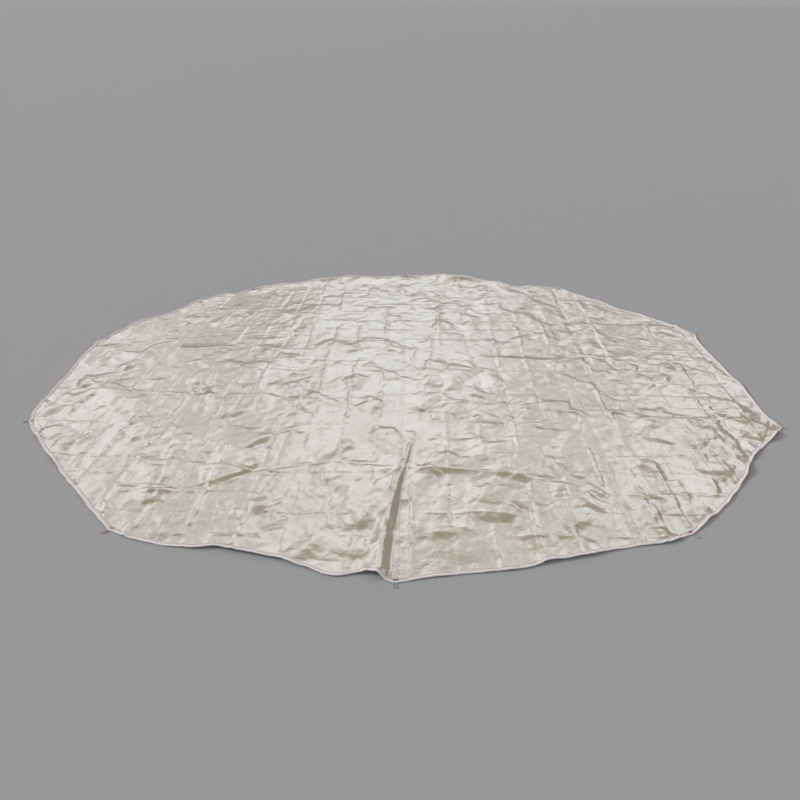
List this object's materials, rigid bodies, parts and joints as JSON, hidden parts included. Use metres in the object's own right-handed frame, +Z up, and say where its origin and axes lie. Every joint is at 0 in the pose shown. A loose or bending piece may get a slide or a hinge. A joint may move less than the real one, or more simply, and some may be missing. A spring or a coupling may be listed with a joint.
{
  "type": "ten-sided ground sheet",
  "caption": "Large flat ten-sided ground sheet of woven plastic strips, with welded seams, a roped hem, corner patches and peg loops; it folds up along lines beside its seams.",
  "frame": {"origin": "on the ground under the middle of the laid-out sheet, in its bottom plane", "axes": "+X right along the cross of the sheet, +Y from the near corner to the far corner, which the welds run along, +Z up off the ground"},
  "size_m": [7.1261, 7.2796, 0.06],
  "materials": {
    "cloth": "silvery beige woven polyethylene with a satin film, fine square weave, fold creases and crumples",
    "weld": "doubled woven polyethylene, flattened by the heat weld, slightly darker",
    "hem": "pale pinkish white woven binding, matt, with a mauve line of stitching",
    "rope": "off-white twisted polypropylene rope inside the hem",
    "patch": "beige-pink woven reinforcement, stitched round its edge",
    "loop_cord": "grey-beige braided cord"
  },
  "bodies": {
    "inner_left": {"left_weld": "weld", "inner_left_strip": "cloth", "centre_weld": "weld", "centre_pleat": "cloth", "hem_1b": "hem", "hem_rope_1b": "rope", "hem_5b": "hem", "hem_rope_5b": "rope", "hem_6b": "hem", "hem_rope_6b": "rope", "hem_10b": "hem", "hem_rope_10b": "rope", "corner_patch_1": "patch", "corner_patch_6": "patch"},
    "outer_left": {"outer_left_strip": "cloth", "hem_6a": "hem", "hem_rope_6a": "rope", "hem_7": "hem", "hem_rope_7": "rope", "hem_8": "hem", "hem_rope_8": "rope", "hem_9": "hem", "hem_rope_9": "rope", "hem_10a": "hem", "hem_rope_10a": "rope", "corner_patch_7": "patch", "corner_patch_8": "patch", "corner_patch_9": "patch", "corner_patch_10": "patch"},
    "inner_right": {"inner_right_strip": "cloth", "right_weld": "weld", "hem_1c": "hem", "hem_rope_1c": "rope", "hem_5c": "hem", "hem_rope_5c": "rope"},
    "outer_right": {"outer_right_strip": "cloth", "hem_1d": "hem", "hem_rope_1d": "rope", "hem_2": "hem", "hem_rope_2": "rope", "hem_3": "hem", "hem_rope_3": "rope", "hem_4": "hem", "hem_rope_4": "rope", "hem_5d": "hem", "hem_rope_5d": "rope", "corner_patch_2": "patch", "corner_patch_3": "patch", "corner_patch_4": "patch", "corner_patch_5": "patch"},
    "loop_1": {"corner_loop_1": "loop_cord"},
    "loop_2": {"corner_loop_2": "loop_cord"},
    "loop_3": {"corner_loop_3": "loop_cord"},
    "loop_4": {"corner_loop_4": "loop_cord"},
    "loop_5": {"corner_loop_5": "loop_cord"},
    "loop_6": {"corner_loop_6": "loop_cord"},
    "loop_7": {"corner_loop_7": "loop_cord"},
    "loop_8": {"corner_loop_8": "loop_cord"},
    "loop_9": {"corner_loop_9": "loop_cord"},
    "loop_10": {"corner_loop_10": "loop_cord"}
  },
  "joints": [
    {"name": "outer_left_fold", "type": "hinge", "parent": "inner_left", "child": "outer_left", "pos_m": [-1.815, 0, 0.034], "axis": [0, 1, 0], "range_deg": [0, 179.9]},
    {"name": "half_fold", "type": "hinge", "parent": "inner_left", "child": "inner_right", "pos_m": [0.12, 0, 0.073], "axis": [0, -1, 0], "range_deg": [0, 179.9]},
    {"name": "outer_right_fold", "type": "hinge", "parent": "inner_right", "child": "outer_right", "pos_m": [1.815, 0, 0.034], "axis": [0, -1, 0], "range_deg": [0, 179.9]},
    {"name": "loop_1_swing", "type": "hinge", "parent": "inner_left", "child": "loop_1", "pos_m": [0, -3.5695, 0.003], "axis": [-1, 0.0018, 0], "range_deg": [0, 90]},
    {"name": "loop_2_swing", "type": "hinge", "parent": "outer_right", "child": "loop_2", "pos_m": [2.18101, -2.96059, 0.003], "axis": [-0.827, -0.5622, 0], "range_deg": [0, 90]},
    {"name": "loop_3_swing", "type": "hinge", "parent": "outer_right", "child": "loop_3", "pos_m": [3.50039, -1.22085, 0.003], "axis": [-0.3053, -0.9523, 0], "range_deg": [0, 90]},
    {"name": "loop_4_swing", "type": "hinge", "parent": "outer_right", "child": "loop_4", "pos_m": [3.43039, 1.25084, 0.003], "axis": [0.3265, -0.9452, 0], "range_deg": [0, 90]},
    {"name": "loop_5_swing", "type": "hinge", "parent": "outer_right", "child": "loop_5", "pos_m": [2.12101, 3.02059, 0.003], "axis": [0.8253, -0.5648, 0], "range_deg": [0, 90]},
    {"name": "loop_6_swing", "type": "hinge", "parent": "inner_left", "child": "loop_6", "pos_m": [0, 3.5995, 0.003], "axis": [1, 0.0087, 0], "range_deg": [0, 90]},
    {"name": "loop_7_swing", "type": "hinge", "parent": "outer_left", "child": "loop_7", "pos_m": [-2.12101, 2.98059, 0.003], "axis": [0.819, 0.5738, 0], "range_deg": [0, 90]},
    {"name": "loop_8_swing", "type": "hinge", "parent": "outer_left", "child": "loop_8", "pos_m": [-3.52039, 1.07085, 0.003], "axis": [0.3067, 0.9518, 0], "range_deg": [0, 90]},
    {"name": "loop_9_swing", "type": "hinge", "parent": "outer_left", "child": "loop_9", "pos_m": [-3.50039, -1.15084, 0.003], "axis": [-0.3192, 0.9477, 0], "range_deg": [0, 90]},
    {"name": "loop_10_swing", "type": "hinge", "parent": "outer_left", "child": "loop_10", "pos_m": [-2.15101, -2.96059, 0.003], "axis": [-0.8236, 0.5671, 0], "range_deg": [0, 90]}
  ]
}
